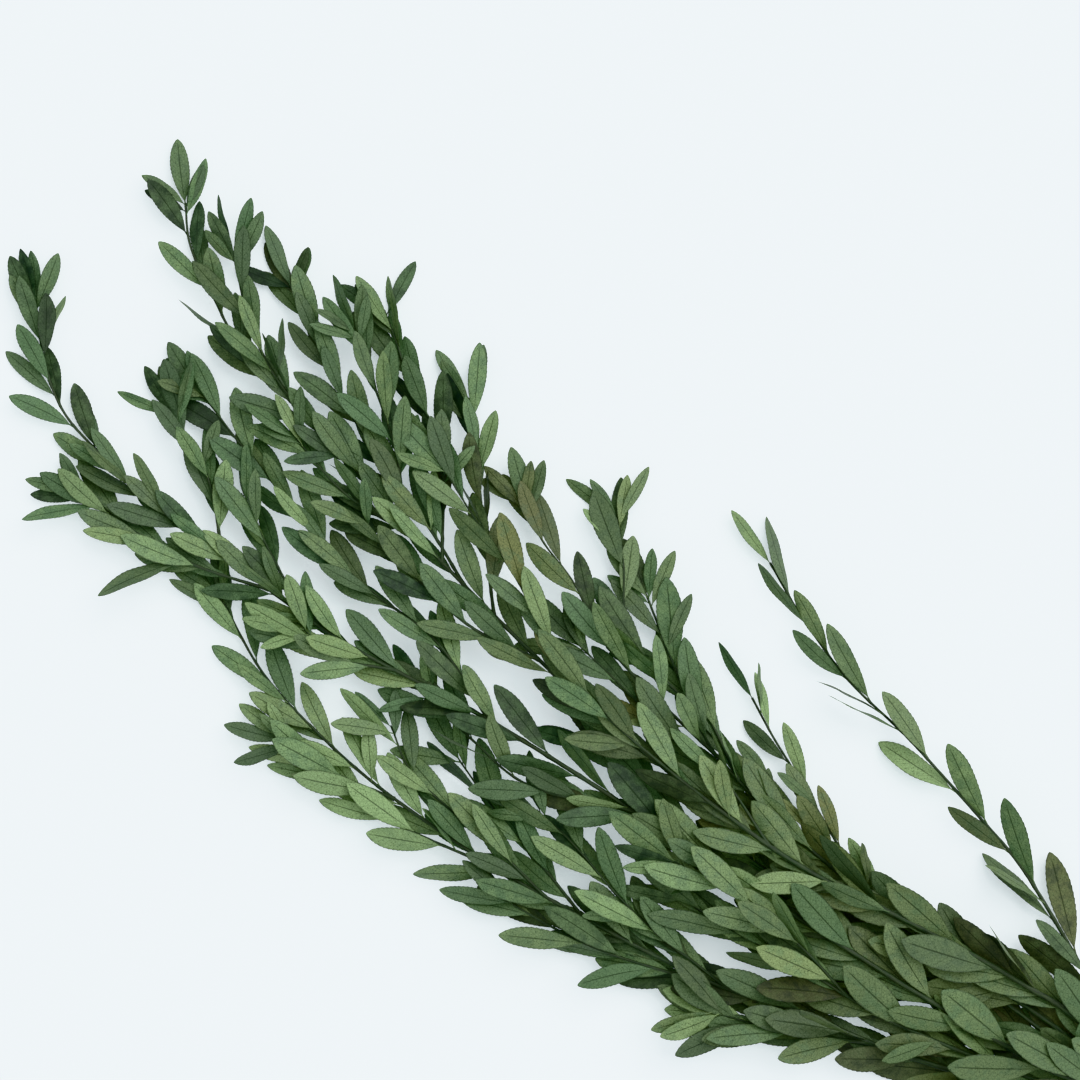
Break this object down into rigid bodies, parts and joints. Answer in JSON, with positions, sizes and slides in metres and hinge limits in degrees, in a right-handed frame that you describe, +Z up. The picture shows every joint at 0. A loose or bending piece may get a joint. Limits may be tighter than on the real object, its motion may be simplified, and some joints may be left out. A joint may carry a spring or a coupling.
{
  "type": "preserved eucalyptus bunch",
  "caption": "Bunch of preserved nicholii eucalyptus lying flat: slender dark stems with side twigs and narrow lance-shaped green leaves, held by a rubber band near the cut ends.",
  "frame": {"origin": "on the table, under the middle of the bunch's bounding box", "axes": "+X along the bunch from the cut ends to the leaf tips, +Y across it to the left, +Z up from the table"},
  "size_m": [0.7534, 0.2406, 0.0452],
  "materials": {
    "leaves": "satin",
    "stems": "matte",
    "rubber": "matte"
  },
  "bodies": {
    "root": {"leafy_stem_1": "leaves", "leafy_stem_2": "leaves", "leafy_stem_3": "leaves", "leafy_stem_4": "leaves", "leafy_stem_5": "leaves", "leafy_stem_6": "leaves", "leafy_stem_7": "leaves", "leafy_stem_8": "leaves", "rubber_band": "rubber"}
  },
  "joints": []
}
